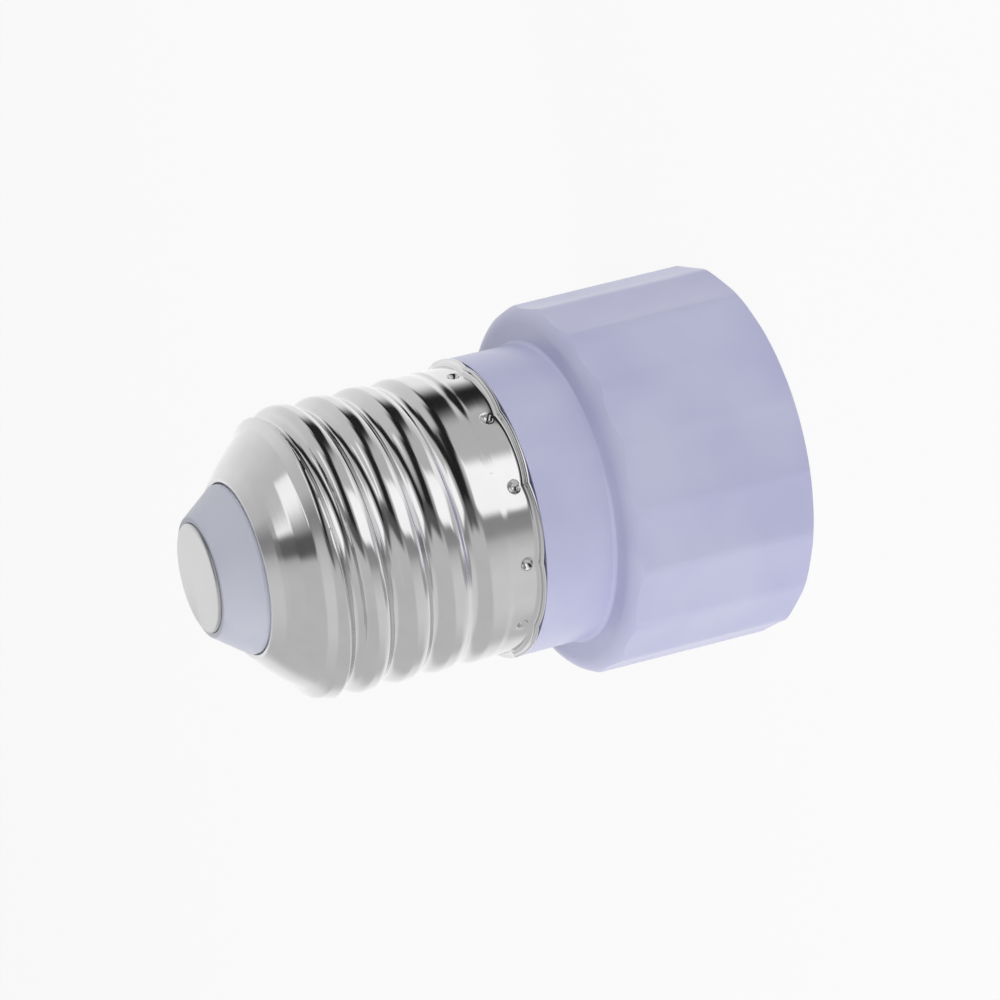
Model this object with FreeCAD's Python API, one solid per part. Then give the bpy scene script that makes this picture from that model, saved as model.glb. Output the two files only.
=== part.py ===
import FreeCAD, Part
import os
from math import asin, atan2, cos, degrees, pi, radians, sin, sqrt, tan

# Lamp socket adapter: a rolled screw shell with a centre contact at the top, a moulded
# housing with a fluted collar below it, and a two-pin twist-lock socket face in the collar.
# Millimetres, +Z up along the lamp axis, origin in the middle of the collar's open rim.

# Screw shell, drawn down from the face of the centre contact
shell_length = 26.9
shell_sheet = 0.35
thread_pitch = 3.629
crest_radius = 13.1
root_radius_tip = 11.95
root_rise_per_turn = 0.17
crest_flat_depth = 0.02
runout_turns = 0.72
runout_depth = 0.01
groove_start_drop = 6.2
groove_end_gap = 0.336
groove_phase = 134.0
groove_edge_gap = 0.08
tool_reach = 0.8
mouth_drop = 3.3
mouth_radius = 7.6
mouth_roll = 0.45
waist_drop = 7.15
waist_radius = 11.55
dome_start_drop = 4.75
dome_start_radius = 9.4
riser_radius = 12.45
riser_drop = 7.75
shoulder_drop = 9.6
skirt_radius = 13.05
skirt_length = 2.8
lip_radius = 13.9
lip_bend = 0.55
waist_bend = 0.8
riser_bend = 0.9
bore_step = 0.5

# Punched dimples that hold the shell on the housing
dimple_count = 12
dimple_phase = 6.6
dimple_height = 1.55
dimple_radius = 0.62
dimple_depth = 0.42
dimple_wall = 0.25

# Housing: collar, neck and the spigot inside the shell's skirt
collar_height = 17.8
collar_rim_radius = 17.18
collar_top_radius = 16.92
collar_wall = 1.95
rim_round = 0.5
shoulder_round = 1.7
shoulder_roof = 1.9
flute_count = 18
flute_depth = 0.3
ridge_round = 0.9
neck_radius = 13.6
neck_length = 6.7
neck_fillet = 0.4
neck_wall = 2.4
spigot_clearance = 0.05
spigot_gap = 0.3
spigot_edge = 0.3
chamber_wall = 2.49

# Tip insulator and centre contact
nose_radius = 5.35
nose_drop = 0.3
nose_edge = 0.2
nose_clearance = 0.05
plug_depth = 3.4
plug_wall = 2.2
contact_radius = 4.85
contact_head = 0.6
contact_edge = 0.2
shank_radius = 1.2
shank_length = 8.6
shank_cup = 2.4
stem_wall = 1.1
stem_setback = 2.2

# Socket face: keyholes for two headed pins 10 mm apart
recess_depth = 3.0
face_thickness = 3.2
face_clearance = 0.1
face_edge = 0.3
pin_spacing = 10.0
entry_radius = 2.8
slot_half_width = 1.6
twist_angle = 35.0
barrier_thickness = 1.6
barrier_height = 6.6
barrier_gap = 1.0

# Countersunk screws that hold the face on two bosses of the housing
screw_inset = 4.23
screw_shank_radius = 1.2
screw_head_radius = 2.2
screw_length = 8.6
screw_point = 1.0
screw_clearance = 0.05
screw_slot_width = 0.5
screw_slot_depth = 0.7
boss_radius = 2.6
boss_rib = 1.6
boss_hole_depth = 7.4

# Leaf contacts, each folded from one strip
leaf_sheet = 0.4
leaf_height = 4.2
leaf_lift = 0.9
leaf_clearance = 0.8
leaf_root_y = -5.8
leaf_root_length = 2.8
leaf_knee_y = 0.6
leaf_bend = 1.2
leaf_curl_reach = 2.2
leaf_curl_angle = 17.6
pin_head_radius = 2.5
pin_press = 0.4
tail_rise = 2.4
tail_reach = 3.2
tail_end_margin = 1.28
tail_bend = 0.6
holder_margin = 1.0
holder_clearance = 0.03
holder_rise = 0.8

# Leads: a core in a sleeve
core_radius = 0.45
sleeve_radius = 0.95
bare_core = 1.1
core_stub = 0.6
live_drop = 7.0
live_approach = 6.6
neutral_inset = 1.3
neutral_bend = 0.6
neutral_drop = 6.7
neutral_approach = 4.4
notch_depth = 1.2
notch_strip = 2.2
notch_clearance = 0.1
bend_share = 0.45

# How far a cutting shape reaches past the face that it opens, and when two ends are one
cut_margin = 1.0
same_place = 1e-6

# Places worked out from the sizes above
neck_top = collar_height + neck_length
tip_height = neck_top + shell_length
skirt_start_drop = shell_length - skirt_length
groove_end_drop = skirt_start_drop - groove_end_gap
groove_turns = (groove_end_drop - groove_start_drop) / thread_pitch - runout_turns
face_front = recess_depth
face_back = face_front + face_thickness
chamber_top = collar_height - shoulder_roof
collar_bore = collar_rim_radius - collar_wall
chamber_radius = collar_top_radius - chamber_wall
neck_bore = neck_radius - neck_wall
skirt_bore = skirt_radius - shell_sheet
spigot_radius = skirt_bore - spigot_clearance
spigot_length = skirt_length - spigot_gap
spigot_top = neck_top + spigot_length
thread_bore = root_radius_tip - shell_sheet
pin_circle_radius = pin_spacing / 2
leaf_root_x = pin_circle_radius + pin_head_radius + leaf_clearance
screw_circle_radius = collar_bore - screw_inset
barrier_half_length = screw_circle_radius - boss_radius - barrier_gap

axis_origin = FreeCAD.Vector(0, 0, 0)
z_axis = FreeCAD.Vector(0, 0, 1)


def point(x, y, z):
    return FreeCAD.Vector(x, y, z)


def polar(radius, angle, z):
    return point(radius * cos(radians(angle)), radius * sin(radians(angle)), z)


def height_at(drop):
    """Height of a place given by its drop below the face of the centre contact."""
    return tip_height - drop


def rounded_wire(corners, closed):
    """Straight runs through (place, radius) corners, each corner rounded by its radius."""
    count = len(corners)
    edges = []
    ends = []
    for index, (place, radius) in enumerate(corners):
        inner = closed or 0 < index < count - 1
        if not inner or radius <= 0:
            ends.append((place, place))
            continue
        before = (corners[index - 1][0] - place).normalize()
        after = (corners[(index + 1) % count][0] - place).normalize()
        half_opening = before.getAngle(after) / 2
        setback = radius / tan(half_opening)
        start = place + before * setback
        end = place + after * setback
        inward = (before + after).normalize()
        middle = place + inward * (radius / sin(half_opening) - radius)
        ends.append((start, end))
        edges.append((index, Part.Arc(start, middle, end).toShape()))
    arcs = dict(edges)
    path = []
    for index in range(count):
        if index in arcs:
            path.append(arcs[index])
        following = (index + 1) % count
        if following == 0 and not closed:
            break
        leave = ends[index][1]
        arrive = ends[following][0]
        if leave.distanceToPoint(arrive) > same_place:
            path.append(Part.LineSegment(leave, arrive).toShape())
    return Part.Wire(Part.sortEdges(path)[0])


def upright_section(outline):
    """Face in the XZ plane from (radius, height, rounding) corners."""
    corners = [(point(radius, 0, z), rounding) for radius, z, rounding in outline]
    return Part.Face(rounded_wire(corners, True))


def turned(outline):
    """Solid turned about the lamp axis."""
    return upright_section(outline).revolve(axis_origin, z_axis, 360)


def level_section(outline, z):
    """Face at a height from (x, y, rounding) corners."""
    corners = [(point(x, y, z), rounding) for x, y, rounding in outline]
    return Part.Face(rounded_wire(corners, True))


def sheet_outline(path, thickness):
    """Closed outline of a sheet bent along a path of (u, v, bend) corners, bends to mid sheet."""
    half = thickness / 2
    left = []
    right = []
    runs = zip(path, path[1:])
    headings = [atan2(end[1] - start[1], end[0] - start[0]) for start, end in runs]
    arriving = headings[:1] + headings
    leaving = headings + headings[-1:]
    for (u, v, bend), into, out in zip(path, arriving, leaving):
        turn = (out - into + pi) % (2 * pi) - pi
        normal = into + turn / 2 + pi / 2
        reach = half / cos(turn / 2)
        side = half if turn > 0 else -half
        rounds = (bend - side, bend + side) if bend > 0 else (0, 0)
        left.append((u + reach * cos(normal), v + reach * sin(normal), rounds[0]))
        right.append((u - reach * cos(normal), v - reach * sin(normal), rounds[1]))
    return left + right[::-1]


def around(shape, count, phase):
    """Copies of a shape turned evenly about the lamp axis."""
    copies = []
    for index in range(count):
        copy = shape.copy()
        copy.rotate(axis_origin, z_axis, phase + index * 360 / count)
        copies.append(copy)
    return copies


def cylinder(radius, bottom, top, x=0, y=0):
    return Part.makeCylinder(radius, top - bottom, point(x, y, bottom), z_axis)


def shell_path():
    """Outer line of the shell from its mouth to its lip, as (radius, drop, rounding)."""
    return [
        (mouth_radius, mouth_drop + mouth_roll, 0),
        (mouth_radius, mouth_drop, mouth_roll),
        (mouth_radius + 2 * mouth_roll, mouth_drop, mouth_roll),
        (dome_start_radius, dome_start_drop, waist_bend),
        (waist_radius, waist_drop, waist_bend),
        (riser_radius, riser_drop, riser_bend),
        (crest_radius, shoulder_drop, riser_bend),
        (crest_radius, skirt_start_drop - bore_step, 0),
        (skirt_radius, skirt_start_drop, 0),
        (skirt_radius, shell_length - shell_sheet, lip_bend),
        (lip_radius, shell_length - shell_sheet, 0),
    ]


def dome_inner_corners():
    """Inner line of the dome, one sheet inside its outer line, as (radius, drop, rounding)."""
    slope = atan2(waist_radius - dome_start_radius, waist_drop - dome_start_drop)
    inward = shell_sheet / cos(slope)
    low = (waist_radius - inward, waist_drop)
    rise = tan(slope)
    mouth_inner = mouth_drop + mouth_roll + shell_sheet
    high = (low[0] - (waist_drop - mouth_inner) * rise, mouth_inner)
    return [(high[0], high[1], 0), (low[0], low[1], 0)]


def groove_section(root_radius, top_radius):
    """Section of the helical groove: one root arc between two crest arcs, tangent to both."""
    half_pitch = thread_pitch / 2
    depth = top_radius - root_radius
    arc = (half_pitch ** 2 + depth ** 2) / (4 * depth)
    join_radius = root_radius + depth / 2
    join_drop = half_pitch / 2
    edge_drop = half_pitch - groove_edge_gap
    crest_centre = top_radius - arc
    edge_radius = crest_centre + sqrt(arc ** 2 - groove_edge_gap ** 2)
    quarter_angle = asin(join_drop / arc) / 2

    def crest_arc(side):
        middle_drop = side * (half_pitch - arc * sin(quarter_angle))
        middle = point(crest_centre + arc * cos(quarter_angle), 0, middle_drop)
        start = point(join_radius, 0, side * join_drop)
        return Part.Arc(start, middle, point(edge_radius, 0, side * edge_drop)).toShape()

    outside = crest_radius + tool_reach
    root_arc = Part.Arc(
        point(join_radius, 0, -join_drop),
        point(root_radius, 0, 0),
        point(join_radius, 0, join_drop),
    ).toShape()
    sides = [
        Part.LineSegment(point(edge_radius, 0, edge_drop), point(outside, 0, edge_drop)).toShape(),
        Part.LineSegment(point(outside, 0, edge_drop), point(outside, 0, -edge_drop)).toShape(),
        Part.LineSegment(point(outside, 0, -edge_drop), point(edge_radius, 0, -edge_drop)).toShape(),
    ]
    return Part.Wire(Part.sortEdges([root_arc, crest_arc(1), crest_arc(-1)] + sides)[0])


def along_thread(shape, turns):
    """Shape moved along the thread from the start of the groove by a number of turns."""
    shape.rotate(axis_origin, z_axis, turns * 360)
    shape.translate(z_axis * turns * thread_pitch)
    return shape


def rising_helix(turns, start_radius, end_radius):
    """Right-hand helix whose radius grows by the same amount in every turn."""
    height = turns * thread_pitch
    cone_angle = degrees(atan2(end_radius - start_radius, height))
    return Part.makeHelix(thread_pitch, height, start_radius, cone_angle, False, True)


def groove_run(first_turn, turns, start_radius, end_radius):
    """Tool for a run of the groove, its root growing by an even amount while its crests stay round."""
    crest_top = crest_radius + crest_flat_depth
    path = rising_helix(turns, start_radius, end_radius)
    pipe = Part.BRepOffsetAPI.MakePipeShell(path)
    pipe.setBiNormalMode(z_axis)
    start, end = path.OrderedVertexes
    pipe.add(groove_section(start_radius, crest_top), start)
    pipe.add(along_thread(groove_section(end_radius, crest_top), turns), end)
    pipe.build()
    pipe.makeSolid()
    tool = along_thread(pipe.shape(), first_turn)
    tool.rotate(axis_origin, z_axis, groove_phase)
    tool.translate(z_axis * groove_start_drop)
    return tool


def groove_tools():
    """Rolled groove that grows slowly shallower, then runs out into the skirt."""
    end_radius = root_radius_tip + groove_turns * root_rise_per_turn
    out_radius = crest_radius + crest_flat_depth - runout_depth
    return [
        groove_run(0, groove_turns, root_radius_tip, end_radius),
        groove_run(groove_turns, runout_turns, end_radius, out_radius),
    ]


def dimple_place(radius):
    return polar(radius, 0, neck_top + dimple_height)


def dimple_ball(outer_radius, growth):
    """Ball whose cap enters a wall of the given radius by the dimple's depth."""
    ball = (dimple_radius ** 2 + dimple_depth ** 2) / (2 * dimple_depth)
    centre = dimple_place(outer_radius - dimple_depth + ball)
    return Part.makeSphere(ball + growth, centre)


def make_screw_shell():
    """Sheet shell turned in drops below the tip, threaded, then turned over to stand tip up."""
    outer = shell_path()
    inner = [
        (lip_radius, shell_length, 0),
        (skirt_bore, shell_length, lip_bend + shell_sheet),
        (skirt_bore, skirt_start_drop, 0),
        (thread_bore, skirt_start_drop - bore_step, 0),
        (thread_bore, waist_drop + bore_step, 0),
    ]
    dome = dome_inner_corners()
    blank = turned(outer + inner + dome[::-1] + [(mouth_radius, dome[0][1], 0)])
    shell = blank.cut(groove_tools())
    shell.rotate(axis_origin, point(1, 0, 0), 180)
    shell.translate(z_axis * tip_height)
    within_sheet = cylinder(skirt_bore + shell_sheet / 2, neck_top, spigot_top)
    bump = dimple_ball(skirt_radius, dimple_wall).common(within_sheet)
    shell = shell.fuse(around(bump, dimple_count, dimple_phase))
    return shell.cut(around(dimple_ball(skirt_radius, 0), dimple_count, dimple_phase))


def make_tip_insulator():
    """Cone nose through the mouth of the shell, and a plug under its dome."""
    dome = dome_inner_corners()
    plug_drop = dome[0][1] + plug_depth
    slope = (dome[1][0] - dome[0][0]) / (dome[1][1] - dome[0][1])
    plug_radius = dome[0][0] + slope * (plug_drop - dome[0][1])
    throat = mouth_radius - nose_clearance
    seat_radius = contact_radius + nose_clearance
    stem_radius = shank_radius + stem_wall
    stem_drop = contact_head + shank_length - stem_setback
    cup_drop = contact_head + plug_wall
    outline = [
        (shank_radius, contact_head, 0),
        (seat_radius, contact_head, 0),
        (seat_radius, nose_drop, 0),
        (nose_radius, nose_drop, nose_edge),
        (throat, mouth_drop, 0),
        (throat, dome[0][1], 0),
        (dome[0][0], dome[0][1], 0),
        (plug_radius, plug_drop, 0),
        (plug_radius - plug_wall, plug_drop, 0),
        (stem_radius + plug_wall, cup_drop, plug_wall / 2),
        (stem_radius, cup_drop, 0),
        (stem_radius, stem_drop, 0),
        (shank_radius, stem_drop, 0),
    ]
    return turned([(radius, height_at(drop), rounding) for radius, drop, rounding in outline])


def make_centre_contact():
    """Flat-headed nail with a cup for the live core in the end of its shank."""
    under_head = height_at(contact_head)
    shank_end = under_head - shank_length
    outline = [
        (0, height_at(0), 0),
        (contact_radius, height_at(0), contact_edge),
        (contact_radius, under_head, 0),
        (shank_radius, under_head, 0),
        (shank_radius, shank_end, 0),
        (core_radius, shank_end, 0),
        (core_radius, shank_end + shank_cup, 0),
        (0, shank_end + shank_cup, 0),
    ]
    return turned(outline)


def fluted_outline(ridge_radius, z):
    """Scalloped wire: shallow hollows between rounded ridges, the first ridge on +X."""
    step = 360 / flute_count
    ridge_half = degrees(ridge_round / 2 / ridge_radius)
    edge_radius = ridge_radius - ridge_round / 2 * tan(radians(step / 4))
    edges = []
    for index in range(flute_count):
        ridge = index * step
        before = polar(edge_radius, ridge - ridge_half, z)
        after = polar(edge_radius, ridge + ridge_half, z)
        following = polar(edge_radius, ridge + step - ridge_half, z)
        hollow = polar(ridge_radius - flute_depth, ridge + step / 2, z)
        edges.append(Part.Arc(before, polar(ridge_radius, ridge, z), after).toShape())
        edges.append(Part.Arc(after, hollow, following).toShape())
    return Part.Wire(edges)


def make_collar():
    """Fluted prism with draft, rounded at the rim and at the shoulder."""
    prism = Part.makeLoft(
        [fluted_outline(collar_rim_radius, 0), fluted_outline(collar_top_radius, collar_height)],
        True,
        True,
    )
    margin = flute_depth / 2
    rim_reach = collar_rim_radius + margin
    top_reach = collar_top_radius + margin
    blank = turned([
        (0, 0, 0),
        (rim_reach, 0, rim_round + margin),
        (top_reach, collar_height, shoulder_round + margin),
        (0, collar_height, 0),
    ])
    return prism.common(blank)


def screw_places():
    """Angles of the two face screws, square to the middle of the pins' travel."""
    middle = twist_angle / 2
    return [middle + 90, middle - 90]


def lead_notch():
    """Notch in the spigot's edge and groove down its side, for the neutral core."""
    half = core_radius + notch_clearance
    floor = spigot_top - notch_depth
    groove_floor = spigot_radius - 2 * core_radius - notch_clearance
    through = Part.makeBox(
        spigot_radius - neck_bore + 2 * cut_margin,
        2 * half,
        notch_depth + cut_margin,
        point(-spigot_radius - cut_margin, -half, floor),
    )
    groove = Part.makeBox(
        spigot_radius - groove_floor + cut_margin,
        2 * half,
        spigot_length,
        point(-spigot_radius - cut_margin, -half, neck_top),
    )
    return through.fuse(groove)


def screw_boss(angle):
    """Boss under the roof for a face screw, with a rib to the chamber's wall."""
    top = collar_height - shoulder_roof / 2
    boss = cylinder(boss_radius, face_back, top, screw_circle_radius, 0)
    rib = Part.makeBox(
        chamber_radius + chamber_wall / 2 - screw_circle_radius,
        boss_rib,
        top - face_back,
        point(screw_circle_radius, -boss_rib / 2, face_back),
    )
    boss = boss.fuse(rib)
    boss.rotate(axis_origin, z_axis, angle)
    return boss


def make_housing():
    """One moulding: collar, neck, spigot, stepped bore and two screw bosses."""
    foot_radius = neck_radius + neck_fillet
    neck = turned([
        (0, chamber_top, 0),
        (foot_radius, chamber_top, 0),
        (foot_radius, collar_height, 0),
        (neck_radius, collar_height, neck_fillet),
        (neck_radius, neck_top, 0),
        (spigot_radius, neck_top, 0),
        (spigot_radius, spigot_top, spigot_edge),
        (0, spigot_top, 0),
    ])
    bore = turned([
        (0, -cut_margin, 0),
        (collar_bore, -cut_margin, 0),
        (collar_bore, face_back, 0),
        (chamber_radius, face_back, 0),
        (chamber_radius, chamber_top, 0),
        (neck_bore, chamber_top, 0),
        (neck_bore, spigot_top + cut_margin, 0),
        (0, spigot_top + cut_margin, 0),
    ])
    housing = make_collar().fuse(neck).cut(bore)
    for angle in screw_places():
        housing = housing.fuse(screw_boss(angle))
    for angle in screw_places():
        place = polar(screw_circle_radius, angle, 0)
        mouth = face_back - cut_margin
        end = face_back + boss_hole_depth
        hole = cylinder(screw_shank_radius + screw_clearance, mouth, end, place.x, place.y)
        housing = housing.cut(hole)
    pockets = around(
        dimple_ball(skirt_radius, dimple_wall + spigot_clearance),
        dimple_count,
        dimple_phase,
    )
    return housing.cut(pockets + [lead_notch()]).removeSplitter()


def keyhole():
    """Round entry with a slot that follows the pins' circle to the end of the twist."""
    bottom = face_front - cut_margin
    top = face_back + cut_margin
    entry = cylinder(entry_radius, bottom, top, pin_circle_radius, 0)
    outer = pin_circle_radius + slot_half_width
    inner = pin_circle_radius - slot_half_width
    travel = Part.makeCylinder(outer, top - bottom, point(0, 0, bottom), z_axis, twist_angle)
    travel = travel.cut(cylinder(inner, bottom, top))
    rest = polar(pin_circle_radius, twist_angle, 0)
    end = cylinder(slot_half_width, bottom, top, rest.x, rest.y)
    return entry.fuse([travel, end])


def leaf_line():
    """Line of a leaf in plan: root, knee, press point on the pin's head and curl."""
    press_radius = pin_circle_radius + pin_head_radius - pin_press + leaf_sheet / 2
    press = polar(press_radius, twist_angle, 0)
    curl = polar(press_radius + leaf_curl_reach, twist_angle + leaf_curl_angle, 0)
    return [
        (leaf_root_x, leaf_root_y, 0),
        (leaf_root_x, leaf_knee_y, leaf_bend),
        (press.x, press.y, leaf_bend),
        (curl.x, curl.y, 0),
    ]


def make_leaf_contact():
    """Folded strip: sprung leaf on edge, root in its holder, tail with a hole for the core."""
    bottom = face_back + leaf_lift
    leaf = level_section(sheet_outline(leaf_line(), leaf_sheet), bottom).extrude(z_axis * leaf_height)
    tail_height = bottom + leaf_height + tail_rise
    tail_line = [
        (leaf_root_x, bottom, 0),
        (leaf_root_x, tail_height, tail_bend),
        (leaf_root_x - tail_reach, tail_height, 0),
    ]
    tail = upright_section(sheet_outline(tail_line, leaf_sheet))
    tail.translate(point(0, leaf_root_y, 0))
    tail = tail.extrude(point(0, leaf_root_length, 0))
    place = lead_place()
    hole = cylinder(core_radius, tail_height - leaf_sheet, tail_height + leaf_sheet, place.x, place.y)
    return leaf.fuse(tail).cut(hole).removeSplitter()


def lead_place():
    """Hole of the live contact's tail, at the height of the tail."""
    tail_height = face_back + leaf_lift + leaf_height + tail_rise
    return point(
        leaf_root_x - tail_reach + tail_end_margin,
        leaf_root_y + leaf_root_length / 2,
        tail_height,
    )


def leaf_holder():
    """Post on the back of the face, slotted for the root of a leaf."""
    gap = leaf_sheet / 2 + holder_clearance
    width = 2 * (gap + holder_margin)
    rise = leaf_lift + leaf_height + holder_rise
    post = Part.makeBox(
        width,
        leaf_root_length,
        rise,
        point(leaf_root_x - width / 2, leaf_root_y, face_back),
    )
    slot = Part.makeBox(
        2 * gap,
        leaf_root_length + 2 * cut_margin,
        rise,
        point(leaf_root_x - gap, leaf_root_y - cut_margin, face_back + leaf_lift),
    )
    return post.cut(slot)


def make_socket_face():
    """Disc with two keyholes, a barrier and two slotted holders on its back."""
    radius = collar_bore - face_clearance
    face = turned([
        (0, face_front, 0),
        (radius, face_front, face_edge),
        (radius, face_back, 0),
        (0, face_back, 0),
    ])
    barrier = Part.makeBox(
        barrier_thickness,
        2 * barrier_half_length,
        barrier_height,
        point(-barrier_thickness / 2, -barrier_half_length, face_back),
    )
    barrier.rotate(axis_origin, z_axis, twist_angle / 2)
    face = face.fuse([barrier] + around(leaf_holder(), 2, 0))
    face = face.cut(around(keyhole(), 2, 0))
    hole_radius = screw_shank_radius + screw_clearance
    sink_radius = screw_head_radius + screw_clearance
    sink_depth = screw_head_radius - screw_shank_radius
    for angle in screw_places():
        place = polar(screw_circle_radius, angle, face_front)
        hole = cylinder(hole_radius, face_front - cut_margin, face_back + cut_margin, place.x, place.y)
        sink = Part.makeCone(sink_radius, hole_radius, sink_depth, place, z_axis)
        face = face.cut([hole, sink])
    return face.removeSplitter()


def make_face_screw(angle):
    """Countersunk screw with a crossed slot, its point in the boss."""
    head = screw_head_radius - screw_shank_radius
    tip = face_front + screw_length
    outline = [
        (0, face_front, 0),
        (screw_head_radius, face_front, 0),
        (screw_shank_radius, face_front + head, 0),
        (screw_shank_radius, tip - screw_point, 0),
        (0, tip, 0),
    ]
    screw = turned(outline)
    slot = Part.makeBox(
        2 * screw_shank_radius,
        screw_slot_width,
        2 * screw_slot_depth,
        point(-screw_shank_radius, -screw_slot_width / 2, face_front - screw_slot_depth),
    )
    screw = screw.cut([slot] + around(slot, 1, 90))
    screw.translate(polar(screw_circle_radius, angle, 0))
    return screw


def lead_route(places):
    """Corners of a lead, each rounded by the largest arc that its runs and its limit allow."""
    corners = []
    for index, (place, limit) in enumerate(places):
        if index in (0, len(places) - 1):
            corners.append((place, 0))
            continue
        before = place - places[index - 1][0]
        after = places[index + 1][0] - place
        shorter = min(before.Length, after.Length)
        largest = bend_share * shorter / tan(before.getAngle(after) / 2)
        corners.append((place, min(largest, limit)))
    return corners


def tube_along(corners, radius):
    route = rounded_wire(corners, False)
    start = route.Edges[0].valueAt(route.Edges[0].FirstParameter)
    heading = route.Edges[0].tangentAt(route.Edges[0].FirstParameter)
    ring = Part.Wire(Part.makeCircle(radius, start, heading))
    return route.makePipeShell([ring], True, False)


def live_route():
    """Places and bend limits from the cup in the shank to the tail of the live contact."""
    cup = height_at(contact_head + shank_length - shank_cup)
    shank_end = height_at(contact_head + shank_length)
    tail = lead_place()
    return [
        (point(0, 0, cup), 0),
        (point(0, 0, shank_end - live_drop), neck_bore),
        (point(tail.x, tail.y, tail.z + live_approach), neck_bore),
        (point(tail.x, tail.y, tail.z - core_stub), 0),
    ]


def neutral_route():
    """Places and bend limits from outside the spigot, over its notch, to the neutral contact."""
    trapped = skirt_bore - core_radius
    inside = neck_bore - neutral_inset
    crossing = spigot_top - notch_depth / 2 + core_radius / 2
    tail = lead_place()
    return [
        (point(-trapped, 0, neck_top + core_stub), 0),
        (point(-trapped, 0, crossing), neutral_bend),
        (point(-inside, 0, crossing), neutral_bend),
        (point(-inside, 0, crossing - neutral_drop), neck_bore),
        (point(-tail.x, -tail.y, tail.z + neutral_approach), neck_bore),
        (point(-tail.x, -tail.y, tail.z - core_stub), 0),
    ]


def make_sleeve(corners):
    """Sleeve over the part of a core that stays covered, open on the core."""
    return tube_along(corners, sleeve_radius).cut(tube_along(corners, core_radius))


def covered(corners, start_strip, end_strip):
    """Route without its stripped ends: both end runs are straight, so they only shorten."""
    kept = list(corners)
    first = kept[0][0]
    kept[0] = (first + (kept[1][0] - first).normalize() * start_strip, 0)
    last = kept[-1][0]
    kept[-1] = (last + (kept[-2][0] - last).normalize() * end_strip, 0)
    return kept


def make_parts():
    live = lead_route(live_route())
    neutral = lead_route(neutral_route())
    tail_strip = core_stub + leaf_sheet / 2 + bare_core
    covered_live = covered(live, shank_cup + bare_core, tail_strip)
    covered_neutral = covered(neutral[2:], neutral_bend + notch_strip, tail_strip)
    live_contact = make_leaf_contact()
    neutral_contact = live_contact.copy()
    neutral_contact.rotate(axis_origin, z_axis, 180)
    return {
        "housing": make_housing(),
        "screw_shell": make_screw_shell(),
        "tip_insulator": make_tip_insulator(),
        "centre_contact": make_centre_contact(),
        "socket_face": make_socket_face(),
        "face_screws": Part.makeCompound([make_face_screw(angle) for angle in screw_places()]),
        "live_contact": live_contact,
        "neutral_contact": neutral_contact,
        "live_lead_core": tube_along(live, core_radius),
        "live_lead_sleeve": make_sleeve(covered_live),
        "neutral_lead_core": tube_along(neutral, core_radius),
        "neutral_lead_sleeve": make_sleeve(covered_neutral),
    }


os.makedirs("parts", exist_ok=True)
for name, shape in make_parts().items():
    shape.exportStep("parts/" + name + ".step")
    print(name, "solids", len(shape.Solids), "faces", len(shape.Faces), "volume", round(shape.Volume, 1))
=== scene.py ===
import math

import bmesh
import bpy
from mathutils import Matrix, Vector


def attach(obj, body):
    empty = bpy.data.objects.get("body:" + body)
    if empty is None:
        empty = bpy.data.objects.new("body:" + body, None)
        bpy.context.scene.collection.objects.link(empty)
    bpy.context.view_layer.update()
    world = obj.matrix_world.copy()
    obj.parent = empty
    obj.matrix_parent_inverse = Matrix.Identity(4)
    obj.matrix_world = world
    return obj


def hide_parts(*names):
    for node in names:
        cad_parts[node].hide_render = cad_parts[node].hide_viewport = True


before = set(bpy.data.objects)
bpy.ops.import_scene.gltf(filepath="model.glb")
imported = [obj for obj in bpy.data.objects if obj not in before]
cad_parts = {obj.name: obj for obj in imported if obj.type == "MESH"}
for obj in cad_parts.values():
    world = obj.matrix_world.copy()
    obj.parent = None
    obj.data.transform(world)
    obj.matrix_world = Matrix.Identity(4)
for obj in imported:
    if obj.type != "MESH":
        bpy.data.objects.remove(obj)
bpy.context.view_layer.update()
mm = 0.001


# colours and nodes

def linearColour(hexValue):
    channels = [int(hexValue[i:i + 2], 16) / 255 for i in (1, 3, 5)]
    linear = [c / 12.92 if c <= 0.04045 else ((c + 0.055) / 1.055) ** 2.4 for c in channels]
    return (*linear, 1.0)


def addNode(tree, kind, settings=None, inputs=None):
    # settings are the node's own values, inputs are socket values or the sockets that feed them
    node = tree.nodes.new(kind)
    for name, value in (settings or {}).items():
        if name == "stops":
            ramp = node.color_ramp.elements
            while len(ramp) < len(value):
                ramp.new(0.5)
            for stop, (position, colour) in zip(ramp, value):
                stop.position = position
                stop.color = colour
        else:
            setattr(node, name, value)
    for name, value in (inputs or {}).items():
        if isinstance(value, bpy.types.NodeSocket):
            tree.links.new(value, node.inputs[name])
        else:
            node.inputs[name].default_value = value
    return node


def newMaterial(name):
    material = bpy.data.materials.new(name)
    material.use_nodes = True
    material.node_tree.nodes.clear()
    return material, material.node_tree


def grey(value):
    return (value, value, value, 1.0)


def seenDirectly(tree):
    # 1 where the camera, a reflection or clear plastic looks, 0 for the light that falls on things
    paths = addNode(tree, "ShaderNodeLightPath")
    mirrored = addNode(tree, "ShaderNodeMath", {"operation": "MAXIMUM"}, {
        0: paths.outputs["Is Camera Ray"], 1: paths.outputs["Is Glossy Ray"]})
    seen = addNode(tree, "ShaderNodeMath", {"operation": "MAXIMUM"}, {
        0: mirrored.outputs["Value"], 1: paths.outputs["Is Transmission Ray"]})
    return seen.outputs["Value"]


# materials

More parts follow.
